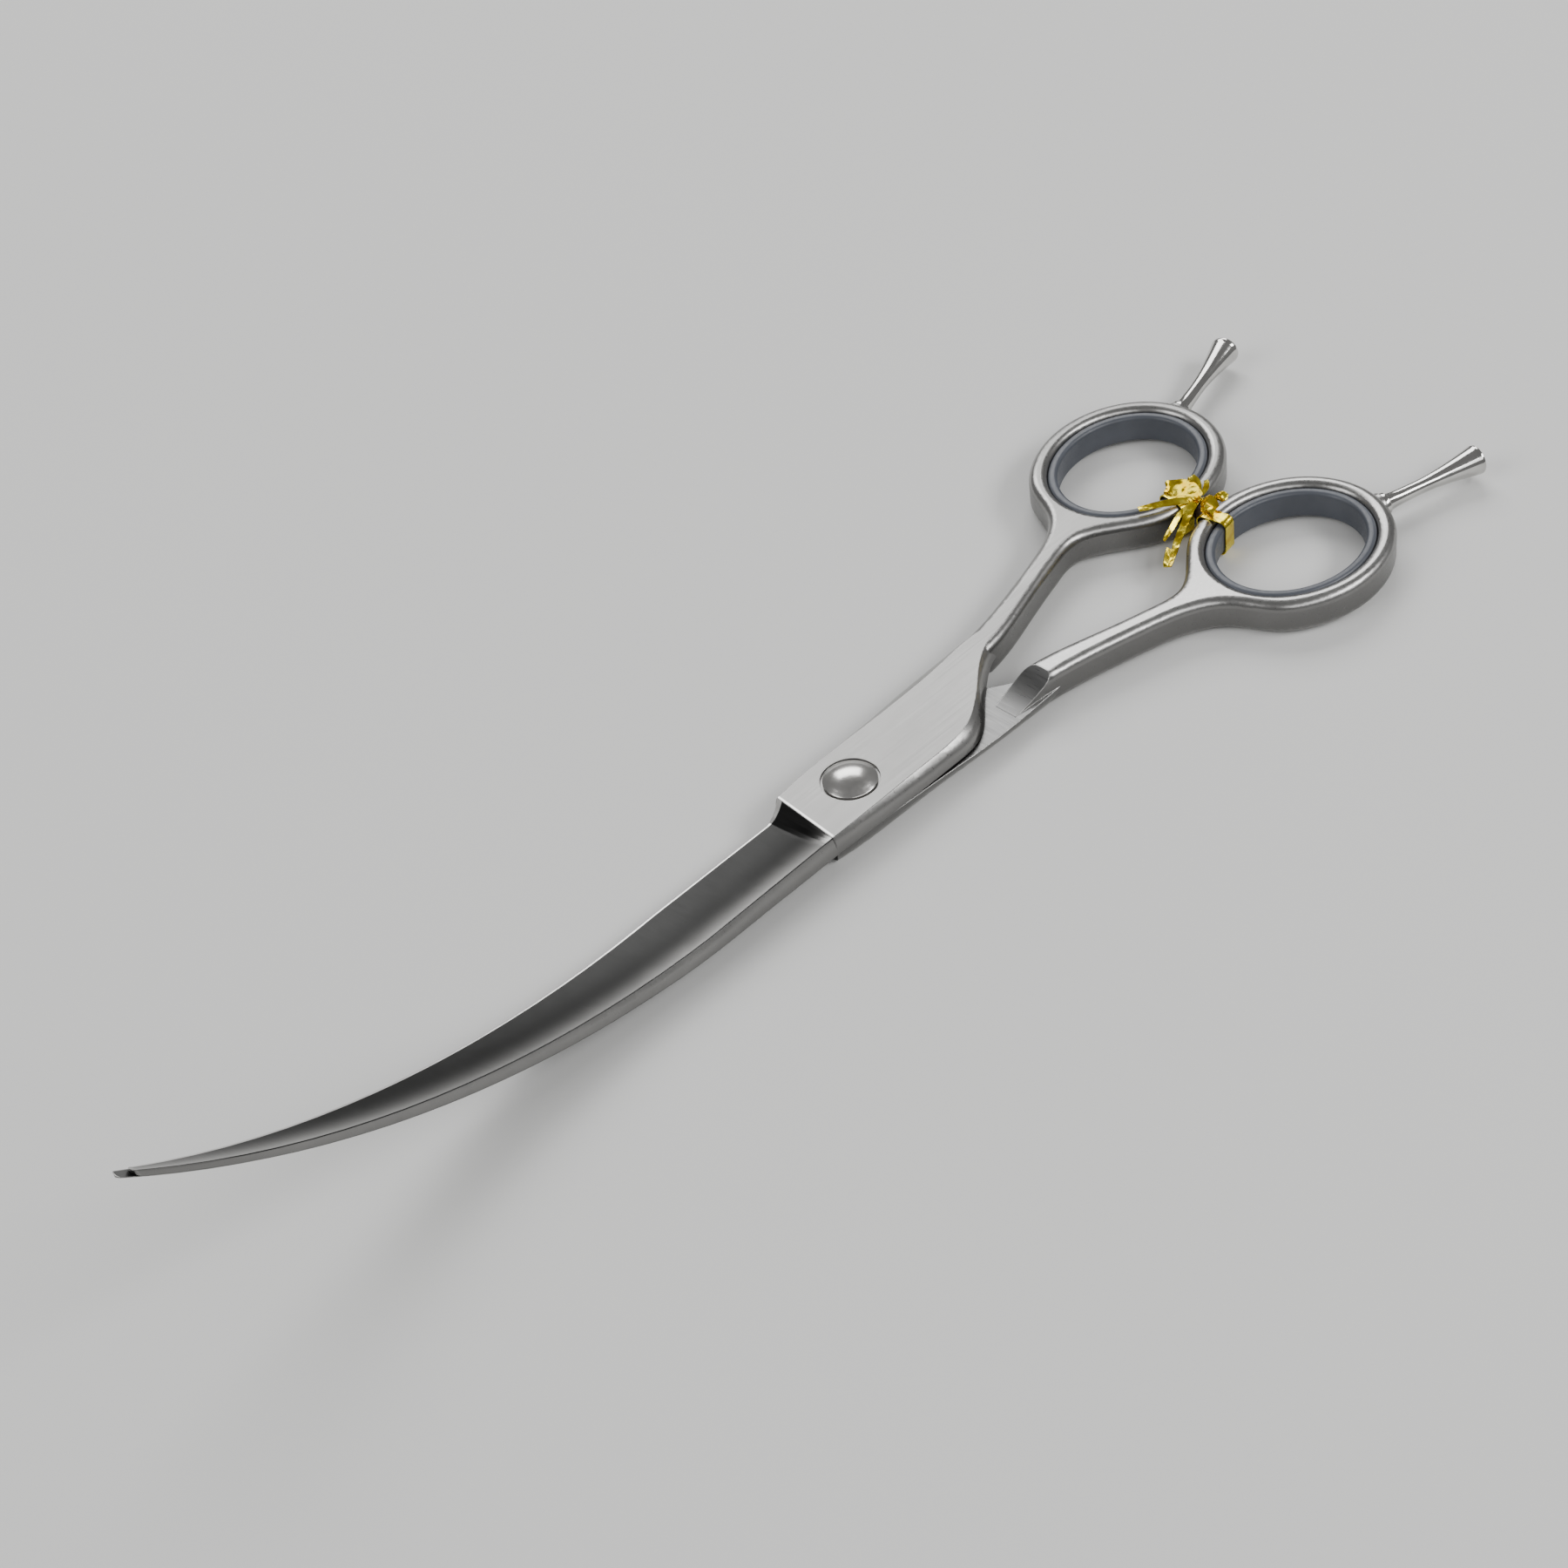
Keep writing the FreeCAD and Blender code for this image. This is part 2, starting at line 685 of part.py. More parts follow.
def upper_tie():
    knot = tie_knot()[0]
    root = knot + Vector(0, twist_root, 0)
    pieces = [tie_twist()]
    for offset, radius in bow_lobes:
        pieces.append(spindle(root, knot + Vector(offset[0], offset[1], offset[2]), radius))
    for offset in tail_ends:
        end = knot + Vector(offset[0], offset[1], offset[2])
        pieces.append(strip(root, end, tail_width, tail_thickness))
    return tie_loop().fuse(pieces)


def lower_tie():
    return mirrored_side(tie_loop().fuse(tie_twist()))


def main():
    os.makedirs("parts", exist_ok=True)
    save("upper_half", upper_half())
    save("lower_half", lower_half())
    save("pivot_screw", pivot_screw())
    save("tension_nut", tension_nut())
    save("tension_spring", tension_spring())
    save("ride_washer", ride_washer())
    pieces = {"ring_insert": ring_insert(), "finger_rest": finger_rest(), "rest_collar": rest_collar()}
    for name, shape in pieces.items():
        save("upper_" + name, shape)
        save("lower_" + name, mirrored_side(shape))
    save("bumper", bumper())
    save("upper_tie", upper_tie())
    save("lower_tie", lower_tie())


main()
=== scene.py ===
import json
import math
import bmesh
import bpy
from mathutils import Matrix, Vector


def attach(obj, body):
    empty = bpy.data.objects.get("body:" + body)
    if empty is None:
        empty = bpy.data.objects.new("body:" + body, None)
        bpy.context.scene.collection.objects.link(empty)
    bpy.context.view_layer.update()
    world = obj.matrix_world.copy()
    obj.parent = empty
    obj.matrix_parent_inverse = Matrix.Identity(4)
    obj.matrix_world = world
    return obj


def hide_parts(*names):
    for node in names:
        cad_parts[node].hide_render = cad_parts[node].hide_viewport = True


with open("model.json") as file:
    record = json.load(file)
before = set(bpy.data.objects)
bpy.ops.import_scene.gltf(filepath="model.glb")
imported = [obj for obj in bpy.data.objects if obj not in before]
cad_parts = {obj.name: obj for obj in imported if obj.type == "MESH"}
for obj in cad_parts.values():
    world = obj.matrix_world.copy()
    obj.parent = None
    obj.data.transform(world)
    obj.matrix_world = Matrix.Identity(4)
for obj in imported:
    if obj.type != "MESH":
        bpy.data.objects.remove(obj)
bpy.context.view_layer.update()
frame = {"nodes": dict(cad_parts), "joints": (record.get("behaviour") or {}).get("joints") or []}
mm = 0.001
scene = bpy.context.scene
nodes = frame["nodes"]
joints = {joint["name"]: joint for joint in frame["joints"]}
print("frame loaded:", len(nodes), "nodes")

shears = {
    "bottomZ": 0.25,                 # heights in mm, from the floor
    "rideLowZ": 2.85,
    "rideUpZ": 3.05,
    "topZ": 5.65,
    "ringCentre": (-75.4, -15.2),    # the upper ring; the lower one mirrors it
    "ringHole": (26.5, 22.3),        # length and width
    "ringWall": 2.75,
    "ringSplay": 5.4,                # degrees
}
middleZ = 0.5 * (shears["rideLowZ"] + shears["rideUpZ"])


# small helpers for objects and node trees

def addObject(name, data):
    obj = bpy.data.objects.new(name, data)
    scene.collection.objects.link(obj)
    return obj


def addNode(tree, kind, **settings):
    node = tree.nodes.new(kind)
    for key, value in settings.items():
        setattr(node, key, value)
    return node


def feed(tree, node, inputs):
    # a socket is linked, anything else is set on the input itself
    for key, value in inputs.items():
        if isinstance(value, bpy.types.NodeSocket):
            tree.links.new(value, node.inputs[key])
        else:
            node.inputs[key].default_value = value
    return node


def calc(tree, operation, *values):
    node = addNode(tree, "ShaderNodeMath", operation=operation)
    return feed(tree, node, dict(enumerate(values))).outputs[0]


def product(tree, first, *others):
    for other in others:
        first = calc(tree, "MULTIPLY", first, other)
    return first


def total(tree, first, *others):
    for other in others:
        first = calc(tree, "ADD", first, other)
    return first


def spread(tree, value, fromLow, fromHigh, toLow=0.0, toHigh=1.0, soft=False):
    node = addNode(tree, "ShaderNodeMapRange")
    if soft:
        node.interpolation_type = "SMOOTHSTEP"
    return feed(tree, node, {0: value, 1: fromLow, 2: fromHigh, 3: toLow, 4: toHigh}).outputs[0]


def mixTone(tree, share, first, second):
    node = addNode(tree, "ShaderNodeMix", data_type="RGBA")
    return feed(tree, node, {0: share, 6: first, 7: second}).outputs[2]


def mixValue(tree, share, first, second):
    node = addNode(tree, "ShaderNodeMix", data_type="FLOAT")
    return feed(tree, node, {0: share, 2: first, 3: second}).outputs[0]


def noiseAt(tree, vector, scale, detail=3.0, roughness=0.55):
    inputs = {"Vector": vector, "Scale": scale, "Detail": detail, "Roughness": roughness}
    return feed(tree, addNode(tree, "ShaderNodeTexNoise"), inputs).outputs[0]


def stretched(tree, vector, scale, turn=0.0):
    inputs = {"Vector": vector, "Scale": scale, "Rotation": (0, 0, turn)}
    return feed(tree, addNode(tree, "ShaderNodeMapping"), inputs).outputs[0]


def bumpFrom(tree, height, strength, distance):
    inputs = {"Strength": strength, "Distance": distance, "Height": height}
    return feed(tree, addNode(tree, "ShaderNodeBump"), inputs).outputs[0]


def vectorMath(tree, operation, first, second, output="Vector"):
    key = "Scale" if operation == "SCALE" else 1
    node = addNode(tree, "ShaderNodeVectorMath", operation=operation)
    return feed(tree, node, {0: first, key: second}).outputs[output]


def partsOf(tree, vector):
    return feed(tree, addNode(tree, "ShaderNodeSeparateXYZ"), {0: vector}).outputs


def inverse(tree, value):
    return calc(tree, "SUBTRACT", 1.0, value)


def varied(tree, noise, low, high):
    # most of a noise lies between 0.3 and 0.7
    return spread(tree, noise, 0.3, 0.7, low, high)


def newFinish(name, **constants):
    material = bpy.data.materials.new(name)
    material.use_nodes = True
    tree = material.node_tree
    shader = tree.nodes["Principled BSDF"]
    for key, value in constants.items():
        shader.inputs[key].default_value = value
    return material, tree, shader, addNode(tree, "ShaderNodeTexCoord").outputs["Object"]


# camera and studio

studio = {
    "cameraPlace": (0.19574, 0.22717, 0.28427),
    "cameraRight": (-0.70074, 0.70428, -0.11379),
    "cameraDown": (0.5434, 0.42356, -0.72479),
    "lens": 70.0,
    "worldTone": 0.5,
    "worldStrength": 0.45,
    "floorTone": (0.70, 0.70, 0.69, 1),
    "floorSize": 3.0,
    "lamps": {       # place, width, height, watts
        "farBox": ((-0.55, -0.70, 0.75), 0.90, 0.60, 9.0),
        "sideBox": ((0.75, -0.25, 0.60), 0.60, 0.50, 4.0),
        "frontBox": ((0.20, 0.85, 0.70), 0.80, 0.40, 3.0),
        "rimBox": ((-0.45, 0.62, 0.62), 0.60, 0.25, 5.0),
    },
}


def buildStudio():
    right = Vector(studio["cameraRight"]).normalized()
    up = -Vector(studio["cameraDown"]).normalized()
    turned = Matrix((right, up, right.cross(up))).transposed()
    cameraData = bpy.data.cameras.new("studioCamera")
    cameraData.lens = studio["lens"]
    cameraData.sensor_width = 36.0
    cameraData.clip_start = 0.01
    camera = addObject("studioCamera", cameraData)
    camera.matrix_world = Matrix.Translation(studio["cameraPlace"]) @ turned.to_4x4()
    scene.camera = camera
    for name, (place, width, height, power) in studio["lamps"].items():
        lampData = bpy.data.lights.new(name, "AREA")
        lampData.shape = "RECTANGLE"
        lampData.size, lampData.size_y, lampData.energy = width, height, power
        lamp = addObject(name, lampData)
        lamp.location = place
        lamp.rotation_euler = (-Vector(place)).to_track_quat("-Z", "Y").to_euler()
    world = bpy.data.worlds.new("studioWorld")
    world.use_nodes = True
    tone = studio["worldTone"]
    backdrop = world.node_tree.nodes["Background"]
    backdrop.inputs[0].default_value = (tone, tone, tone, 1)
    backdrop.inputs[1].default_value = studio["worldStrength"]
    scene.world = world

    size = studio["floorSize"] / 2.0
    floorMesh = bpy.data.meshes.new("paleFloor")
    corners = [(-size, -size), (size, -size), (size, size), (-size, size)]
    floorMesh.from_pydata([(x, y, -0.1 * mm) for x, y in corners], [], [(0, 1, 2, 3)])
    paint, tree, shader, coords = newFinish("palePaper", **{"Base Color": studio["floorTone"]})
    feed(tree, shader, {"Roughness": varied(tree, noiseAt(tree, coords, 900.0, 4.0), 0.8, 0.9)})
    floorMesh.materials.append(paint)
    addObject("paleFloor", floorMesh)


buildStudio()
print("camera, lamps and floor in place")


# ground and polished steel of the two halves

steelLook = {
    "flatTone": (0.25, 0.248, 0.242, 1),
    "roundTone": (0.37, 0.366, 0.358, 1),
    # painted shade: the faces where the two halves ride on each other are darker
    "innerShadeTone": (0.15, 0.15, 0.148, 1),
    # painted reflection in the hollow: a painted highlight by the ridge fading into painted shade
    "hollowShadeTone": (0.022, 0.022, 0.0215, 1),
    "hollowHighlightTone": (0.40, 0.395, 0.385, 1),
    # painted highlight on the cutting edge, the heel and the other sharp edges
    "brightTone": (0.86, 0.85, 0.83, 1),
    # painted dark reflection along the sharp ridge between flat and spine
    "ridgeShadeTone": (0.025, 0.025, 0.025, 1),
    "heelX": 8.85,                   # mm; where the hollow starts at the middle of the blade
    "heelSlope": 0.075,
    "bendX": 32.5,
    "tipX": 113.3,
    "tipFaceX": 112.6,
    "halfWidth": 5.3,
    "tipHalfWidth": 0.85,
    "shift": 0.75,
    "spineInset": (0.0, 0.6),        # upper half, lower half
    "edgeInset": (0.0, 0.3),
    "spineRearX": -15.6,
    "shankRearX": -33.0,
    "hollowReach": 5.2,              # from the ridge to where the painted shade of the hollow is darkest
    "ridgeLine": (0.04, 0.14),       # solid and faded half widths of the fine painted lines: dark on the ridge, highlights at the heel and the edge
    "heelHighlight": (0.05, 0.25),
    "edgeHighlight": (0.2, 0.34),
    "alongLines": (60, 8200, 900),   # noise to the metre in x, y and z, for the grinding lines
    "acrossLines": (9000, 260, 500),
    "roundRough": (0.27, 0.33),
    "flatRough": (0.34, 0.44),
    "innerRough": (0.26, 0.4),
    "hollowRough": (0.3, 0.37),
    "sideShade": 0.52,               # flanks are darker than the faces
    "edgeRounding": 0.22,
    # strength of the painted highlight on the other sharp edges
    "edgeGlintWeight": 0.5,
}


def bladeFields(tree, x, y, side):
    # distances from the blade's ridge and from its cutting edge, in mm
    index = 0 if side > 0 else 1
    share = spread(tree, x, steelLook["bendX"], steelLook["tipX"])
    taper = total(tree, product(tree, share, 0.62), product(tree, share, share, 0.38))
    narrowing = product(tree, taper, steelLook["halfWidth"] - steelLook["tipHalfWidth"])
    width = calc(tree, "SUBTRACT", steelLook["halfWidth"], narrowing)
    thin = calc(tree, "DIVIDE", width, steelLook["halfWidth"])
    across = product(tree, calc(tree, "SUBTRACT", y, steelLook["shift"]), float(side))
    ridge = calc(tree, "SUBTRACT", width, product(tree, thin, steelLook["spineInset"][index]))
    edge = calc(tree, "SUBTRACT", width, product(tree, thin, steelLook["edgeInset"][index]))
    return calc(tree, "SUBTRACT", ridge, across), total(tree, edge, across)


def makeHalfSteel(name, side):
    look = steelLook
    material, tree, shader, coords = newFinish(name, Metallic=1.0)
    x, y = partsOf(tree, stretched(tree, coords, (1000, 1000, 1000)))[:2]
    square = addNode(tree, "ShaderNodeNewGeometry").outputs["Normal"]
    facing = product(tree, partsOf(tree, square)[2], float(side))
    fromRidge, fromEdge = bladeFields(tree, x, y, side)

    heelX = total(tree, look["heelX"], product(tree, y, look["heelSlope"] * side))
    pastHeel = calc(tree, "SUBTRACT", x, heelX)
    onBlade = spread(tree, pastHeel, 0.05, 0.35, soft=True)
    outward = spread(tree, facing, -0.3, -0.1)
    beforeTip = spread(tree, x, look["tipFaceX"], look["tipFaceX"] + 0.3, 1.0, 0.0)
    beyondHeel = product(tree, onBlade, outward, beforeTip)
    hollow = product(tree, beyondHeel, spread(tree, fromRidge, 0.0, 0.08))
    flat = product(tree, spread(tree, facing, 0.97, 0.99), inverse(tree, onBlade))
    onShank = spread(tree, x, look["shankRearX"], look["shankRearX"] + 0.5)
    inner = product(tree, spread(tree, facing, -0.3, -0.6), onShank)

    along = noiseAt(tree, stretched(tree, coords, look["alongLines"], 0.03), 1.0, 3.0, 0.5)
    across = noiseAt(tree, stretched(tree, coords, look["acrossLines"], 0.2), 1.0, 3.0, 0.5)
    cloud = noiseAt(tree, coords, 90.0)
    fine = noiseAt(tree, coords, 2600.0, 2.0)

    # painted reflection in the hollow: a painted highlight by the ridge fading into painted shade further
    # out
    rise = calc(tree, "POWER", spread(tree, fromRidge, 0.0, look["hollowReach"], 1.0, 0.0), 3.0)
    hollowTone = mixTone(tree, rise, look["hollowShadeTone"], look["hollowHighlightTone"])
    tone = mixTone(tree, flat, look["roundTone"], look["flatTone"])
    # painted shade on the faces between the halves
    tone = mixTone(tree, inner, tone, look["innerShadeTone"])
    tone = mixTone(tree, hollow, tone, hollowTone)

    # sharp edges: a painted dark reflection along the ridge between flat and spine, a painted highlight
    # elsewhere
    rounding = {"Radius": look["edgeRounding"] * mm}
    eased = feed(tree, addNode(tree, "ShaderNodeBevel", samples=6), rounding).outputs[0]
    edges = spread(tree, vectorMath(tree, "DOT_PRODUCT", eased, square, "Value"), 0.998, 0.965)
    upwards = spread(tree, facing, 0.1, 0.3)
    nearRidge = spread(tree, calc(tree, "ABSOLUTE", fromRidge), 0.9, 1.1, 1.0, 0.0)
    pastRear = spread(tree, x, look["spineRearX"], look["spineRearX"] + 1.2)
    nearRidge = product(tree, nearRidge, pastRear, upwards)
    offLine = calc(tree, "ABSOLUTE", calc(tree, "SUBTRACT", fromRidge, 0.06))
    line = product(tree, spread(tree, offLine, *look["ridgeLine"], 1.0, 0.0, True), onBlade, upwards)
    line = calc(tree, "MAXIMUM", line, product(tree, edges, nearRidge))
    # painted highlights along the cutting edge, the heel and the other sharp edges
    edgeHighlight = product(tree, spread(tree, fromEdge, *look["edgeHighlight"], 1.0, 0.0, True), beyondHeel)
    heelHighlight = spread(tree, calc(tree, "ABSOLUTE", pastHeel), *look["heelHighlight"], 1.0, 0.0, True)
    heelHighlight = product(tree, heelHighlight, spread(tree, facing, 0.4, 0.6), spread(tree, fromRidge, 0.1, 0.3))
    edgeGlint = product(tree, edges, inverse(tree, nearRidge), inverse(tree, hollow), look["edgeGlintWeight"])
    bright = calc(tree, "MAXIMUM", calc(tree, "MAXIMUM", edgeHighlight, heelHighlight), edgeGlint)
    # painted dark reflection along the ridge
    tone = mixTone(tree, line, tone, look["ridgeShadeTone"])
    # painted highlights laid over the tone
    tone = mixTone(tree, product(tree, bright, 0.85), tone, look["brightTone"])
    shade = spread(tree, calc(tree, "ABSOLUTE", facing), 0.1, 0.8, look["sideShade"], 1.0, True)
    tone = vectorMath(tree, "SCALE", tone, product(tree, shade, varied(tree, cloud, 0.93, 1.05)))

    rough = varied(tree, fine, *look["roundRough"])
    rough = mixValue(tree, flat, rough, varied(tree, along, *look["flatRough"]))
    rough = mixValue(tree, inner, rough, varied(tree, across, *look["innerRough"]))
    rough = mixValue(tree, hollow, rough, varied(tree, across, *look["hollowRough"]))
    grain = total(tree, product(tree, along, flat), product(tree, across, hollow), product(tree, fine, 0.2))
    bump = addNode(tree, "ShaderNodeBump")
    feed(tree, bump, {"Strength": 0.05, "Distance": 0.01 * mm, "Height": grain, "Normal": eased})
    feed(tree, shader, {"Base Color": tone, "Roughness": rough, "Normal": bump.outputs[0]})
    return material


def makePolished(name, dark, light, roughness):
    material, tree, shader, coords = newFinish(name, Metallic=1.0)
    fine = noiseAt(tree, coords, 2400.0)
    feed(tree, shader, {
        "Base Color": mixTone(tree, varied(tree, noiseAt(tree, coords, 300.0, 2.0), 0.0, 1.0), dark, light),
        "Roughness": varied(tree, fine, *roughness),
        "Normal": bumpFrom(tree, fine, 0.06, 0.01 * mm),
    })
    return material


def makeRubber(name, dark, light, roughness):
    material, tree, shader, coords = newFinish(name, **{"Specular IOR Level": 0.5})
    grain = noiseAt(tree, coords, 2400.0, 4.0, 0.65)
    feed(tree, shader, {
        "Base Color": mixTone(tree, varied(tree, noiseAt(tree, coords, 160.0, 2.0), 0.0, 1.0), dark, light),
        "Roughness": varied(tree, grain, *roughness),
        "Normal": bumpFrom(tree, grain, 0.22, 0.03 * mm),
    })
    return material


def makeFoil(name, dark, light, roughness):
    material, tree, shader, coords = newFinish(name, Metallic=1.0)
    folds = noiseAt(tree, coords, 620.0, 2.0, 0.5)
    fromFold = calc(tree, "ABSOLUTE", calc(tree, "SUBTRACT", folds, 0.5))
    wrinkles = noiseAt(tree, coords, 1500.0, 1.0)
    creases = total(tree, product(tree, fromFold, -1.4), product(tree, wrinkles, 0.2))
    feed(tree, shader, {
        "Base Color": mixTone(tree, spread(tree, folds, 0.35, 0.65), dark, light),
        "Roughness": varied(tree, folds, *roughness),
        "Normal": bumpFrom(tree, creases, 0.35, 0.2 * mm),
    })
    return material


# the darker and the lighter tone of each finish
screwTones = (0.58, 0.57, 0.55, 1), (0.72, 0.71, 0.69, 1)
brightTones = (0.52, 0.515, 0.50, 1), (0.64, 0.632, 0.612, 1)
springTones = (0.30, 0.30, 0.30, 1), (0.42, 0.42, 0.41, 1)
greyTones = (0.058, 0.064, 0.078, 1), (0.080, 0.088, 0.106, 1)
brownTones = (0.030, 0.018, 0.013, 1), (0.055, 0.034, 0.025, 1)
whiteTones = (0.68, 0.66, 0.60, 1), (0.82, 0.81, 0.76, 1)
goldTones = (0.72, 0.48, 0.012, 1), (0.98, 0.82, 0.09, 1)
finishes = {
    "upperSteel": makeHalfSteel("groundSteelUpper", 1),
    "lowerSteel": makeHalfSteel("groundSteelLower", -1),
    "screwSteel": makePolished("polishedScrewSteel", *screwTones, (0.2, 0.26)),
    "brightSteel": makePolished("turnedBrightSteel", *brightTones, (0.08, 0.15)),
    "springSteel": makePolished("springSteel", *springTones, (0.25, 0.4)),
    "greyRubber": makeRubber("blueGreyRubber", *greyTones, (0.35, 0.49)),
    "brownRubber": makeRubber("brownRubber", *brownTones, (0.35, 0.49)),
    "whiteNylon": makeRubber("whiteNylon", *whiteTones, (0.43, 0.57)),
    "goldFoil": makeFoil("crumpledGoldFoil", *goldTones, (0.16, 0.3)),
}
print("finishes made:", len(finishes))

keptNodes = {
    "upper_half": "upperSteel",
    "lower_half": "lowerSteel",
    "tension_nut": "screwSteel",
    "tension_spring": "springSteel",
    "ride_washer": "whiteNylon",
}
for nodeName, finishName in keptNodes.items():
    for materialSlot in nodes[nodeName].material_slots:
        materialSlot.material = finishes[finishName]
print("halves, nut, spring and washer finished")


# turned pieces: a profile of (radius, distance along) spun round an axis

def placePiece(obj, body, slot, *replaced):
    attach(obj, body)
    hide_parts(*replaced)


def meshFrom(name, bm, finishName, sharpAngle=35.0):
    bmesh.ops.remove_doubles(bm, verts=bm.verts, dist=1e-7)
    bmesh.ops.recalc_face_normals(bm, faces=bm.faces)
    mesh = bpy.data.meshes.new(name)
    bm.to_mesh(mesh)
    bm.free()
    mesh.shade_smooth()
    mesh.set_sharp_from_angle(angle=math.radians(sharpAngle))
    mesh.materials.append(finishes[finishName])
    return addObject(name, mesh)


def smoothed(corners, steps=7):
    # a soft curve through the corners
    last = len(corners) - 1
    points = []
    for index in range(last):
        four = [corners[min(max(index + move, 0), last)] for move in (-1, 0, 1, 2)]
        for stop in range(steps):
            t = stop / steps
            point = []
            for a, b, c, d in zip(*four):
                cubic = (2 * a - 5 * b + 4 * c - d) * t * t + (3 * b - a - 3 * c + d) * t ** 3
                point.append(0.5 * (2 * b + (c - a) * t + cubic))
            points.append(tuple(point))
    return points + [corners[-1]]


def arc(centre, radius, start, end, steps=6):
    angles = [math.radians(start + (end - start) * stop / steps) for stop in range(steps + 1)]
    return [(centre[0] + radius * math.cos(a), centre[1] + radius * math.sin(a)) for a in angles]


def turnPiece(name, profile, base, way, finishName, around=72):
    # sizes in mm; a closed profile makes a ring
    way = Vector(way).normalized()
    side = way.orthogonal().normalized()
    other = way.cross(side)
    angles = [2 * math.pi * stop / around for stop in range(around)]
    spokes = [side * math.cos(angle) + other * math.sin(angle) for angle in angles]
    bm = bmesh.new()
    loops = []
    for radius, along in profile:
        centre = Vector(base) + way * along
        if radius < 1e-6:
            loops.append([bm.verts.new(centre * mm)])
        else:
            loops.append([bm.verts.new((centre + spoke * radius) * mm) for spoke in spokes])
    for first, second in zip(loops, loops[1:]):
        for stop in range(around):
            after = (stop + 1) % around
            corners = [first[stop % len(first)], first[after % len(first)]]
            corners += [second[after % len(second)], second[stop % len(second)]]
            corners = list(dict.fromkeys(corners))
            if len(corners) > 2:
                bm.faces.new(corners)
    return meshFrom(name, bm, finishName)


restShape = {
    "collarStart": 0.54,
    "collarEnd": 1.44,
    "collarRadius": 1.75,
    "collarBore": 1.04,
    "collarRim": 0.16,
    "foot": 1.48,
    "footRadius": 1.36,
    "threadEnd": -0.72,
    "threadRadius": 0.99,
    "threadDepth": 0.12,
    "threadLead": 0.1,
    "threadChamfer": 0.15,
    "threadPitch": 0.4,
    "flank": [
        (1.42, 0.1), (1.3, 0.9), (1.2, 2.0), (1.12, 4.6), (1.12, 6.4), (1.2, 8.2), (1.42, 10.6),
        (1.76, 13.2), (2.16, 15.7)],
    "length": 16.2,
    "endRadius": 2.25,
    "endLand": 0.5,
    "endDome": 0.42,
    "domeSteps": 8,
    "rim": 0.14,
}


def buildRest(side):
    size = restShape
    joint = joints[side + "_rest_turn"]
    seat, way = Vector(joint["pos_m"]) / mm, Vector(joint["axis"])
    foot, end, thread, pitch = size["foot"], size["threadEnd"], size["threadRadius"], size["threadPitch"]
    profile = [(0.0, end), (thread - size["threadChamfer"], end)]
    for turn in range(int((foot - end) / pitch)):   # fine thread hidden in the collar and the ring
        start = end + size["threadLead"] + turn * pitch
        profile += [(thread, start), (thread - size["threadDepth"], start + pitch / 2)]
    profile += [(thread, foot), (size["footRadius"], foot)]
    profile += smoothed([(radius, foot + along) for radius, along in size["flank"]])
    top = foot + size["length"] + size["endLand"]
    rim, outer = size["rim"], size["endRadius"]
    profile += arc((outer - rim, foot + size["length"] + rim), rim, -40, 0, 3)
    profile += arc((outer - rim, top - rim), rim, 0, 75)
    for stop in range(1, size["domeSteps"] + 1):    # slightly domed end
        share = 1.0 - stop / size["domeSteps"]
        profile.append(((outer - 1.2 * rim) * share, top + size["endDome"] * (1.0 - share ** 2)))
    rest = turnPiece(side + "FingerRest", profile, seat, way, "brightSteel", 80)
    placePiece(rest, side + "_rest", "rest_chrome", side + "_finger_rest")

    low, high, rim, bore = size["collarStart"], size["collarEnd"], size["collarRim"], size["collarBore"]
    outer = size["collarRadius"] - rim
    ring = [(bore, low)] + arc((outer, low + rim), rim, -90, 0, 4)
    ring += arc((outer, high - rim), rim, 0, 90, 4) + [(bore, high), (bore, low)]
    collar = turnPiece(side + "RestCollar", ring, seat, way, "brightSteel", 64)
    placePiece(collar, side + "_half", "rest_chrome", side + "_rest_collar")


for side in ("upper", "lower"):
    buildRest(side)
print("finger rests and collars turned")

screwShape = {
    "studLow": 0.44,
    "studRadius": 1.8,
    "studChamfer": 0.2,
    "shoulderLow": 1.46,
    "shoulderRadius": 2.5,
    "shoulderChamfer": 0.1,
    "headLow": 5.34,
    "headRadius": 3.78,
    "headRise": 1.35,
    "headChamfer": 0.08,
    "rim": 0.16,
    "domeSteps": 14,
}


def buildScrew():
    size = screwShape
    rim, outer, rise, topZ = size["rim"], size["headRadius"], size["headRise"], shears["topZ"]
    stud, studLow, studChamfer = size["studRadius"], size["studLow"], size["studChamfer"]
    shoulder, shoulderLow, chamfer = size["shoulderRadius"], size["shoulderLow"], size["shoulderChamfer"]
    under, headLow = size["headChamfer"], size["headLow"]
    profile = [(0.0, studLow), (stud - studChamfer, studLow), (stud, studLow + studChamfer)]
    profile += [(stud, shoulderLow), (shoulder - chamfer, shoulderLow)]
    profile += [(shoulder, shoulderLow + chamfer), (shoulder, headLow)]
    profile += arc((outer - under, headLow + under), under, -90, 0, 3)
    profile += arc((outer - rim, topZ - 0.02), rim, 0, 55)
    ball = (outer ** 2 + rise ** 2) / (2 * rise)
    for stop in range(1, size["domeSteps"] + 1):
        radius = (outer - 0.75 * rim) * (1.0 - stop / size["domeSteps"])
        profile.append((radius, topZ + rise - ball + math.sqrt(ball ** 2 - radius ** 2)))
    screw = turnPiece("domedPivotScrew", profile, (0, 0, 0), (0, 0, 1), "screwSteel", 128)
    placePiece(screw, "lower_half", "screw_steel", "pivot_screw")


buildScrew()
print("pivot screw turned")


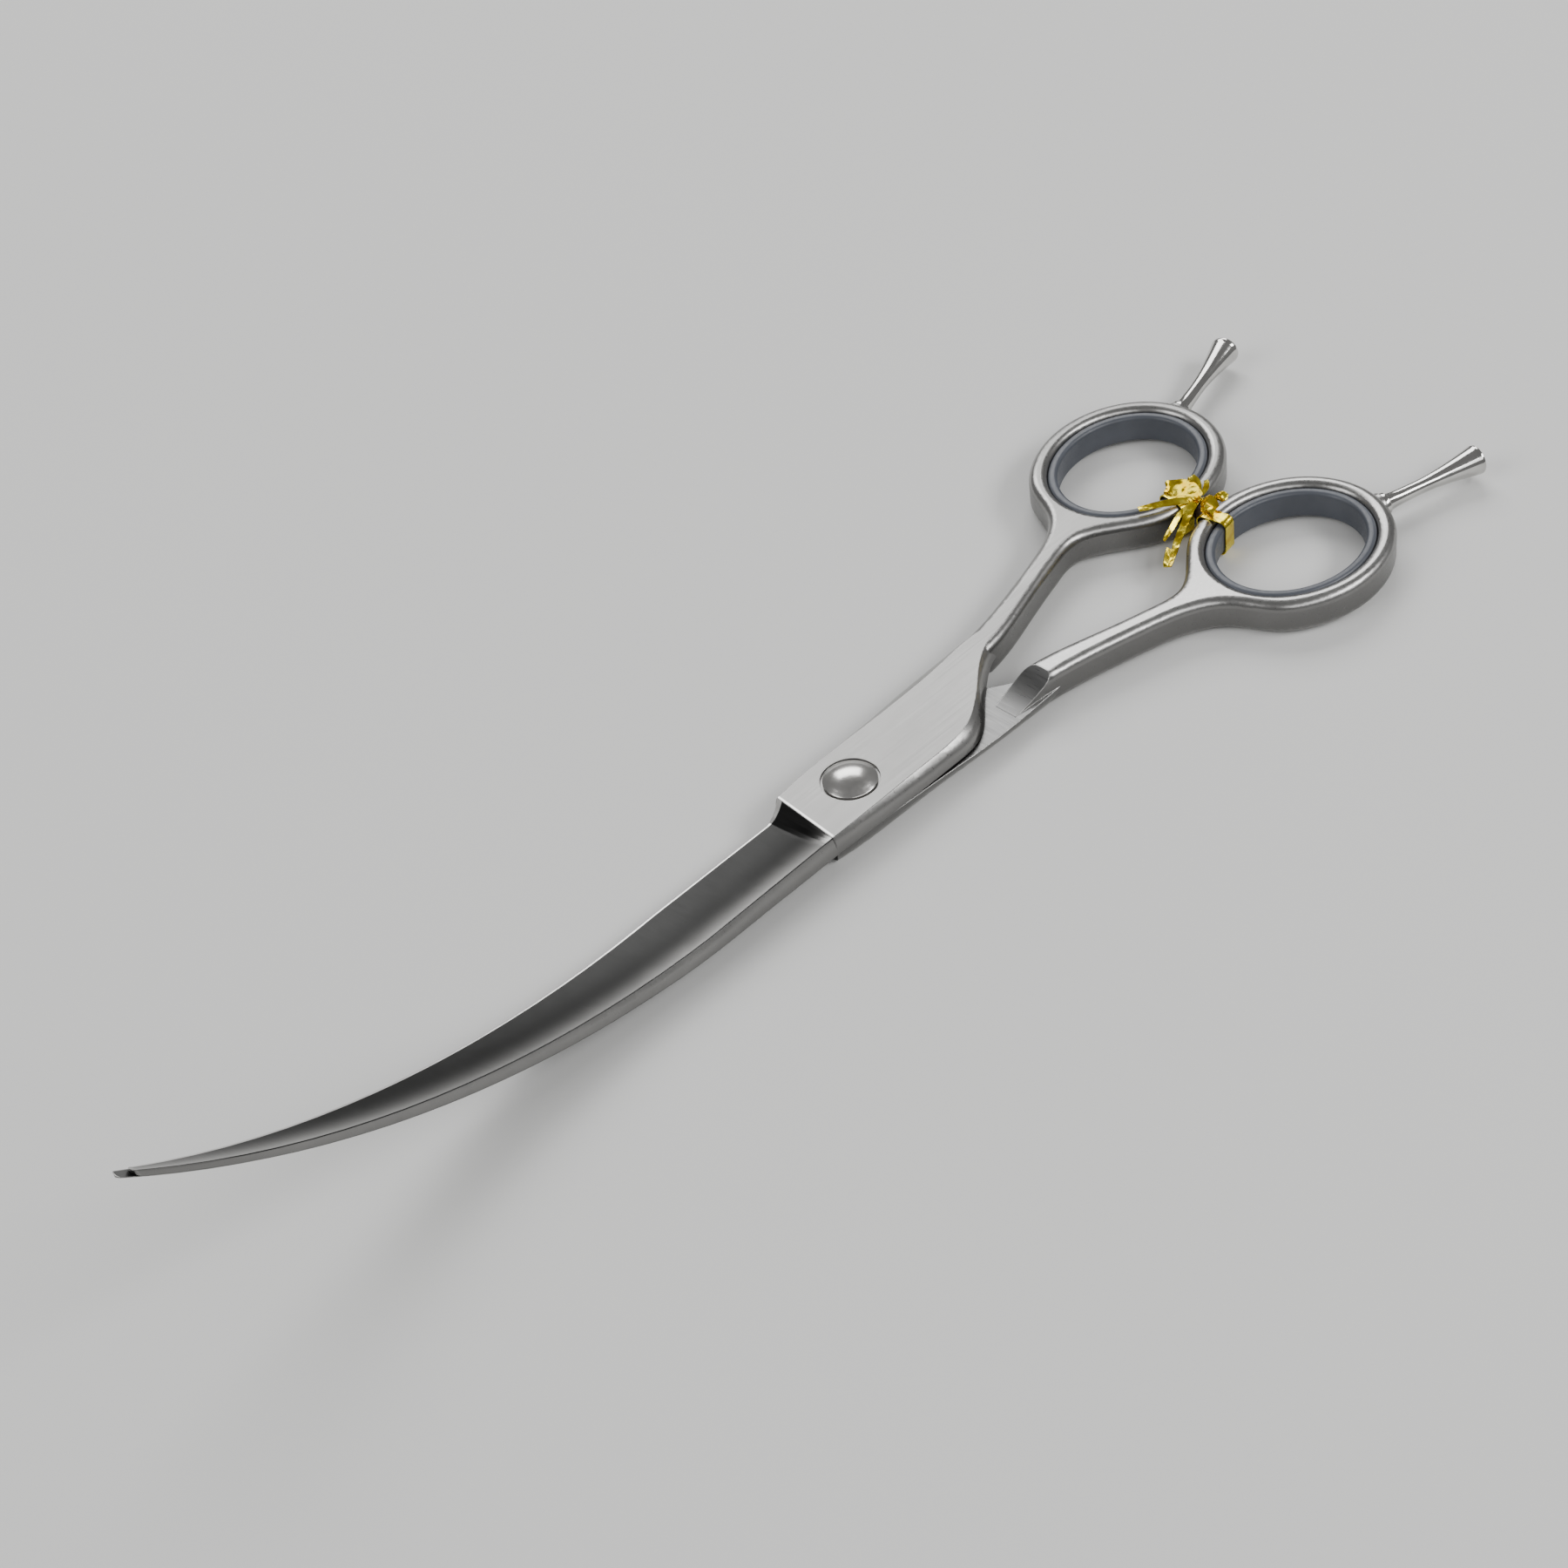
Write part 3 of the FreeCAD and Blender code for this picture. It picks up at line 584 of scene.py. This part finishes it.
def ringSpot(side, degrees, offset):
    # a point on a finger ring and the way out of the ring there, in mm
    half = [length / 2.0 for length in shears["ringHole"]]
    angle, splay = math.radians(degrees), math.radians(shears["ringSplay"])
    out = Vector((math.cos(angle) / half[0], math.sin(angle) / half[1])).normalized()
    spot = Vector((half[0] * math.cos(angle), half[1] * math.sin(angle))) + out * offset
    turn = Matrix.Rotation(splay, 2)
    spot, out = turn @ spot + Vector(shears["ringCentre"]), turn @ out
    mirror = 1 if side == "upper" else -1
    return Vector((spot.x, mirror * spot.y, 0)), Vector((out.x, mirror * out.y, 0))


bumperShape = {
    "angle": 83.8,                   # degrees round the upper ring
    "stemRadius": 0.8,
    "stemLength": 1.4,
    "stemChamfer": 0.15,
    "radius": 1.33,
    "backRound": 0.12,
    "tipRound": 0.5,
    "gap": 0.14,                     # from the other ring when closed
}


def buildBumper():
    size = bumperShape
    spot, out = ringSpot("upper", size["angle"], shears["ringWall"])
    spot.z = middleZ
    reach = -2.0 * spot.y - size["gap"]
    stem, length, chamfer = size["stemRadius"], size["stemLength"], size["stemChamfer"]
    radius, back, tip = size["radius"], size["backRound"], size["tipRound"]
    profile = [(0.0, -length), (stem - chamfer, -length), (stem, chamfer - length), (stem, 0.05)]
    profile += [(radius - back, 0.08)] + arc((radius - back, 0.08 + back), back, -90, 0, 4)
    profile += arc((radius - tip, reach - tip), tip, 0, 80, 8)
    profile += [(0.5 * (radius - tip), reach - 0.01), (0.0, reach)]
    bumper = turnPiece("ringBumper", profile, spot, out, "brownRubber", 56)
    placePiece(bumper, "upper_half", "bumper_rubber", "bumper")


buildBumper()
print("bumper turned")


# node trees that sweep a section along a path

def newTree(name, inputs):
    tree = bpy.data.node_groups.new(name, "GeometryNodeTree")
    tree.interface.new_socket("Geometry", in_out="INPUT", socket_type="NodeSocketGeometry")
    for label, kind in inputs.items():
        tree.interface.new_socket(label, in_out="INPUT", socket_type="NodeSocket" + kind)
    tree.interface.new_socket("Geometry", in_out="OUTPUT", socket_type="NodeSocketGeometry")
    return tree, tree.nodes.new("NodeGroupInput").outputs


def geoNode(tree, kind, inputs, **settings):
    return feed(tree, addNode(tree, "GeometryNode" + kind, **settings), inputs).outputs[0]


def geoField(tree, kind):
    return tree.nodes.new("GeometryNode" + kind).outputs[0]


def endTree(tree, geometry, material):
    whole = geoNode(tree, "RealizeInstances", {"Geometry": geometry})
    painted = geoNode(tree, "SetMaterial", {"Geometry": whole, "Material": material})
    tree.links.new(painted, tree.nodes.new("NodeGroupOutput").inputs[0])


def grow(obj, tree, values):
    # run the tree on obj and return its result as a plain mesh
    modifier = obj.modifiers.new("shape", "NODES")
    modifier.node_group = tree
    for item in tree.interface.items_tree:
        if item.in_out == "INPUT" and item.name in values:
            modifier[item.identifier] = values[item.name]
    mesh = bpy.data.meshes.new_from_object(obj.evaluated_get(bpy.context.evaluated_depsgraph_get()))
    bpy.data.objects.remove(obj)
    return mesh


insertShape = {"wall": 1.5, "height": 4.5, "edgeRadius": 0.62, "edgeSteps": 8, "steps": 176}


def insertTree():
    tree, given = newTree("ringInsertTree", {
        "Centre": "Vector", "Half Length": "Float", "Half Width": "Float", "Splay": "Float",
        "Wall": "Float", "Height": "Float", "Edge Radius": "Float", "Edge Steps": "Int", "Steps": "Int",
        "Material": "Material"})
    circle = geoNode(tree, "CurvePrimitiveCircle", {"Resolution": given["Steps"], "Radius": 1.0})
    stretch = feed(tree, addNode(tree, "ShaderNodeCombineXYZ"), {
        0: given["Half Length"], 1: given["Half Width"], 2: 1.0}).outputs[0]
    turn = feed(tree, addNode(tree, "ShaderNodeCombineXYZ"), {2: given["Splay"]}).outputs[0]
    oval = geoNode(tree, "Transform", {
        "Geometry": circle, "Translation": given["Centre"], "Rotation": turn, "Scale": stretch})
    upright = geoNode(tree, "SetCurveNormal", {"Curve": oval}, mode="Z_UP")
    section = geoNode(tree, "CurvePrimitiveQuadrilateral", {
        "Width": given["Wall"], "Height": given["Height"]})
    eased = geoNode(tree, "FilletCurve", {
        "Curve": section, "Count": given["Edge Steps"], "Radius": given["Edge Radius"],
        "Limit Radius": True}, mode="POLY")
    swept = geoNode(tree, "CurveToMesh", {"Curve": upright, "Profile Curve": eased, "Scale": 1.0})
    endTree(tree, geoNode(tree, "SetShadeSmooth", {"Geometry": swept}), given["Material"])
    return tree


def buildInserts():
    size, centre, hole = insertShape, shears["ringCentre"], shears["ringHole"]
    tree = insertTree()
    for side, mirror in (("upper", 1), ("lower", -1)):
        holder = addObject(side + "Path", bpy.data.meshes.new(side + "Path"))
        mesh = grow(holder, tree, {
            "Centre": (centre[0] * mm, mirror * centre[1] * mm, middleZ * mm),
            "Half Length": (hole[0] - size["wall"]) / 2 * mm,
            "Half Width": (hole[1] - size["wall"]) / 2 * mm,
            "Splay": mirror * math.radians(shears["ringSplay"]),
            "Wall": size["wall"] * mm,
            "Height": size["height"] * mm,
            "Edge Radius": size["edgeRadius"] * mm,
            "Edge Steps": size["edgeSteps"],
            "Steps": size["steps"],
            "Material": finishes["greyRubber"]})
        bm = bmesh.new()
        bm.from_mesh(mesh)
        insert = meshFrom(side + "RingInsert", bm, "greyRubber", 60.0)
        placePiece(insert, side + "_half", "insert_rubber", side + "_ring_insert")


buildInserts()
print("ring inserts swept")


foilTie = {
    "angle": 74.0,                   # degrees round each ring
    "thickness": 0.15,
    "spacing": 0.16,                 # between points along a strip
    "sectionPoints": 30,
    "crumple": 0.84,                 # mm; the span of the push where a strip's crumple is 1
    "foldScale": 430.0,
    "loopWidth": 2.2,
    "loopCrumple": 0.35,
    "loopRounding": 0.9,
    "clearance": 0.26,               # between the loop and the ring's sides
    "faceClearance": (0.12, 0.16),   # below and above the ring
    "neckWidth": 0.95,
    "neckCrumple": 0.6,
    "neckTurns": 2.2,
    "neckRise": 0.5,
    "neckLean": 1.7,                 # the twist lies a little behind the loops
    "seed": 7,
}

# strips: width, crumple, turns along it, direction of its width, points with their share of the width
upperStrips = [
    (2.3, 0.8, 0.0, (0.68, 0.24, -0.69), [
        (-74.4, -0.4, 6.6, 0.35), (-73.6, -1.9, 7.6, 0.95), (-72.4, -3.4, 8.0, 1.05),
        (-71.6, -4.5, 7.9, 0.7), (-72.2, -3.7, 7.0, 0.7), (-74.2, -0.9, 6.4, 0.35)]),
    (1.1, 0.7, 0.0, (0.82, -0.48, -0.33), [
        (-74.4, -0.4, 6.6, 0.45), (-75.1, -1.6, 7.9, 1.0), (-75.4, -2.9, 8.4, 0.9),
        (-75.2, -2.8, 7.7, 0.9), (-74.6, -1.0, 6.4, 0.4)]),
    (0.9, 0.6, 0.0, (0.82, -0.48, -0.33), [
        (-74.5, -0.3, 6.6, 0.5), (-75.8, -0.6, 7.3, 1.0), (-76.6, -1.3, 7.6, 0.7)]),
    (1.05, 0.5, 0.1, (0.45, 0.54, -0.71), [
        (-73.9, -0.5, 6.3, 0.7), (-71.4, -2.3, 6.5, 1.0), (-68.6, -4.3, 6.6, 1.0), (-66.6, -5.7, 6.5, 0.9)]),
    (1.1, 0.6, 0.08, (-0.41, 0.88, -0.24), [
        (-73.9, -0.4, 6.2, 0.6), (-71.0, 0.1, 5.6, 1.0), (-67.4, 1.3, 4.5, 1.0),
        (-62.9, 3.1, 3.0, 0.9), (-62.1, 3.2, 3.6, 0.9), (-64.2, 1.9, 4.5, 0.7)]),
    (0.75, 0.5, -0.1, (-0.41, 0.88, -0.24), [
        (-73.7, -0.3, 6.1, 0.7), (-70.8, -0.9, 5.7, 1.0), (-67.2, -0.3, 4.8, 1.0), (-65.2, 0.2, 4.4, 0.6)]),
]
lowerStrips = [
    (2.0, 0.9, 0.1, (-0.83, 0.39, 0.40), [
        (-74.2, 0.5, 6.7, 0.5), (-73.5, 1.9, 7.2, 1.0), (-72.6, 3.7, 6.9, 0.9)]),
    (1.4, 0.8, -0.4, (0.4, 0.6, 0.5), [
        (-74.2, 1.4, 6.5, 0.5), (-75.0, 2.6, 7.5, 1.0), (-75.6, 3.6, 7.6, 0.9)]),
    (1.3, 0.8, 0.3, (0.6, 0.4, 0.6), [
        (-73.8, 1.6, 6.5, 0.6), (-72.8, 2.5, 7.3, 1.0), (-71.9, 3.0, 7.3, 0.8)]),
]


def foilTree():
    tree, given = newTree("foilStripTree", {
        "Width": "Float", "Thickness": "Float", "Spacing": "Float", "Section Points": "Int",
        "Corner Radius": "Float", "Width Way": "Vector", "Turns": "Float", "Crumple": "Float",
        "Fold Scale": "Float", "Seed": "Float", "Material": "Material"})
    rounded = geoNode(tree, "FilletCurve", {
        "Curve": given["Geometry"], "Count": 5, "Radius": given["Corner Radius"],
        "Limit Radius": True}, mode="POLY")
    even = geoNode(tree, "ResampleCurve", {"Curve": rounded, "Length": given["Spacing"]}, mode="LENGTH")
    normal = vectorMath(tree, "CROSS_PRODUCT", geoField(tree, "InputTangent"), given["Width Way"])
    facing = geoNode(tree, "SetCurveNormal", {"Curve": even, "Normal": normal}, mode="FREE")
    twist = product(tree, geoField(tree, "SplineParameter"), given["Turns"], 2 * math.pi)
    tilted = geoNode(tree, "SetCurveTilt", {"Curve": facing, "Tilt": twist})
    section = geoNode(tree, "CurvePrimitiveQuadrilateral", {
        "Width": given["Thickness"], "Height": given["Width"]})
    section = geoNode(tree, "ResampleCurve", {
        "Curve": section, "Count": given["Section Points"]}, mode="COUNT")
    swept = geoNode(tree, "CurveToMesh", {
        "Curve": tilted, "Profile Curve": section, "Scale": geoField(tree, "InputRadius"),
        "Fill Caps": True})
    noise = addNode(tree, "ShaderNodeTexNoise", noise_dimensions="4D")
    feed(tree, noise, {
        "Vector": geoField(tree, "InputPosition"), "W": given["Seed"], "Scale": given["Fold Scale"],
        "Detail": 2.0})
    centred = vectorMath(tree, "SUBTRACT", noise.outputs[1], (0.5, 0.5, 0.5))
    push = vectorMath(tree, "SCALE", centred, given["Crumple"])
    crumpled = geoNode(tree, "SetPosition", {"Geometry": swept, "Offset": push})
    endTree(tree, crumpled, given["Material"])
    return tree


def pathObject(name, points, closed):
    curve = bpy.data.curves.new(name, "CURVE")
    curve.dimensions = "3D"
    spline = curve.splines.new("POLY")
    spline.points.add(len(points) - 1)
    for index, (x, y, z, share) in enumerate(points):
        spline.points[index].co = (x * mm, y * mm, z * mm, 1)
        spline.points[index].radius = share
    spline.use_cyclic_u = closed
    return addObject(name, curve)


def loopPoints(side):
    # once round the ring and its insert
    inner = -insertShape["wall"] - foilTie["clearance"]
    outer = shears["ringWall"] + foilTie["clearance"]
    below, above = foilTie["faceClearance"]
    low, high = shears["bottomZ"] - below, shears["topZ"] + above
    points = []
    for offset, z in ((inner, low), (outer, low), (outer, high), (inner, high)):
        spot = ringSpot(side, foilTie["angle"], offset)[0]
        points.append((spot.x, spot.y, z, 1.0))
    return points


def neckPoints(side):
    spot = ringSpot(side, foilTie["angle"], shears["ringWall"])[0]
    z, lean = shears["topZ"] + foilTie["neckRise"], foilTie["neckLean"]
    mirror = 1 if side == "upper" else -1
    return [
        (spot.x, spot.y - mirror * 0.4, z, 1.0),
        (spot.x - 0.7 * lean, 0.5 * spot.y, z + 0.25, 0.9),
        (spot.x - lean, -mirror * 0.1, z + 0.35, 0.8),
    ]


def buildTie(side, strips, tree):
    data = foilTie
    along = Vector((0, 0, 1)).cross(ringSpot(side, data["angle"], 0.0)[1])
    rows = [(data["loopWidth"], data["loopCrumple"], 0.0, tuple(along), loopPoints(side))]
    rows.append((data["neckWidth"], data["neckCrumple"], data["neckTurns"], (0, 0, 1), neckPoints(side)))
    bm = bmesh.new()
    for index, (width, crumple, turns, widthWay, points) in enumerate(rows + strips):
        isLoop = index == 0
        path = pathObject("foilPath", points if isLoop else smoothed(points, 6), isLoop)
        mesh = grow(path, tree, {
            "Width": width * mm,
            "Thickness": data["thickness"] * mm,
            "Spacing": data["spacing"] * mm,
            "Section Points": data["sectionPoints"],
            "Corner Radius": data["loopRounding"] * mm if isLoop else 0.0,
            "Width Way": widthWay,
            "Turns": turns,
            "Crumple": crumple * data["crumple"] * mm,
            "Fold Scale": data["foldScale"],
            "Seed": float(data["seed"] + index),
            "Material": finishes["goldFoil"]})
        bm.from_mesh(mesh)
    tie = meshFrom(side + "FoilTie", bm, "goldFoil", 28.0)
    placePiece(tie, side + "_half", "tie_foil", side + "_tie")


stripTree = foilTree()
buildTie("upper", upperStrips, stripTree)
buildTie("lower", lowerStrips, stripTree)
print("foil tie wound")
